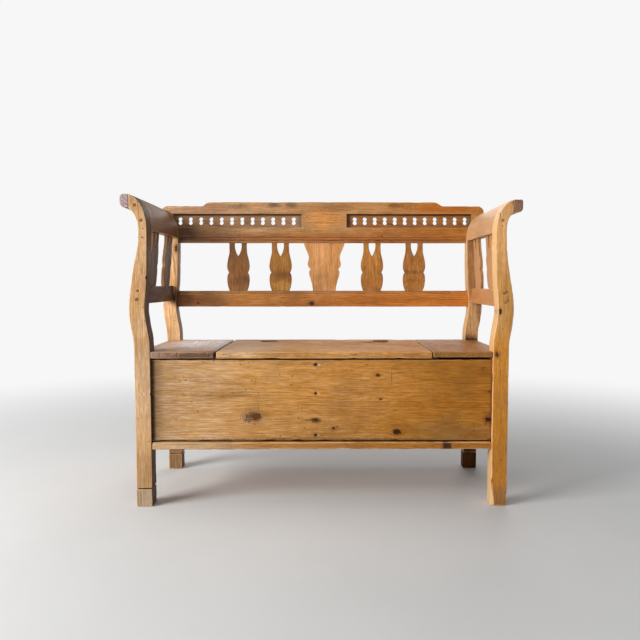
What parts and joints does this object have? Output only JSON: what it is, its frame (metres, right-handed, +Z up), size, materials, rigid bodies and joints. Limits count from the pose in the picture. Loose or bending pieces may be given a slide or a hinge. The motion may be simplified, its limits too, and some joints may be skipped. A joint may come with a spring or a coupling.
{
  "type": "box settle",
  "caption": "Pine box settle with S-curved posts, scrolled arms, a pierced crest and an open splat back, over a storage chest whose seat lifts on butt hinges.",
  "frame": {"origin": "on the floor, in the middle of the settle's plan", "axes": "+X to the right as seen from the front, +Y to the back, +Z up"},
  "size_m": [1.165, 0.422, 0.944],
  "materials": {
    "frame_pine": "old waxed pine",
    "panel_pine": "old waxed pine",
    "seat_pine": "old waxed pine, worn",
    "peg_wood": "oiled hardwood pegs",
    "iron": "dark rusted wrought iron"
  },
  "bodies": {
    "frame": {"front_left_post": "frame_pine", "front_right_post": "frame_pine", "rear_left_post": "frame_pine", "rear_right_post": "frame_pine", "front_left_foot": "frame_pine", "rear_left_foot": "frame_pine", "rear_right_foot": "frame_pine", "foot_dowels": "peg_wood", "left_arm_board": "frame_pine", "right_arm_board": "frame_pine", "left_arm_roll": "frame_pine", "right_arm_roll": "frame_pine", "left_arm_rail": "frame_pine", "right_arm_rail": "frame_pine", "left_arm_splat_front": "frame_pine", "left_arm_splat_rear": "frame_pine", "right_arm_splat_front": "frame_pine", "right_arm_splat_rear": "frame_pine", "front_arm_pegs": "peg_wood", "rear_arm_pegs": "peg_wood", "roll_dowels": "peg_wood", "crest_rail": "frame_pine", "left_fret": "frame_pine", "right_fret": "frame_pine", "fret_pins": "iron", "back_mid_rail": "frame_pine", "outer_left_splat": "frame_pine", "inner_left_splat": "frame_pine", "centre_splat": "frame_pine", "inner_right_splat": "frame_pine", "outer_right_splat": "frame_pine", "front_panel": "panel_pine", "front_panel_batten": "panel_pine", "front_panel_nails": "iron", "back_panel": "panel_pine", "left_side_panel": "panel_pine", "right_side_panel": "panel_pine", "front_bottom_rail": "panel_pine", "rear_bottom_rail": "panel_pine", "floor_board_1": "panel_pine", "floor_board_2": "panel_pine", "floor_board_3": "panel_pine", "floor_nails": "iron", "left_seat_bearer": "panel_pine", "right_seat_bearer": "panel_pine", "left_seat_end": "seat_pine", "right_seat_end": "seat_pine", "seat_back_rail": "seat_pine", "seat_dowels": "peg_wood", "hinge_fixed_leaves": "iron", "hinge_fixed_screws": "iron", "hinge_pins": "iron"},
    "lid": {"seat_lid": "seat_pine", "left_lid_cleat": "seat_pine", "right_lid_cleat": "seat_pine", "lid_cleat_screws": "iron", "hinge_lid_leaves": "iron", "hinge_lid_screws": "iron"}
  },
  "joints": [
    {"name": "lid_hinge", "type": "hinge", "parent": "frame", "child": "lid", "pos_m": [0, 0.096, 0.4631], "axis": [-1, 0, 0], "range_deg": [0, 107]}
  ]
}
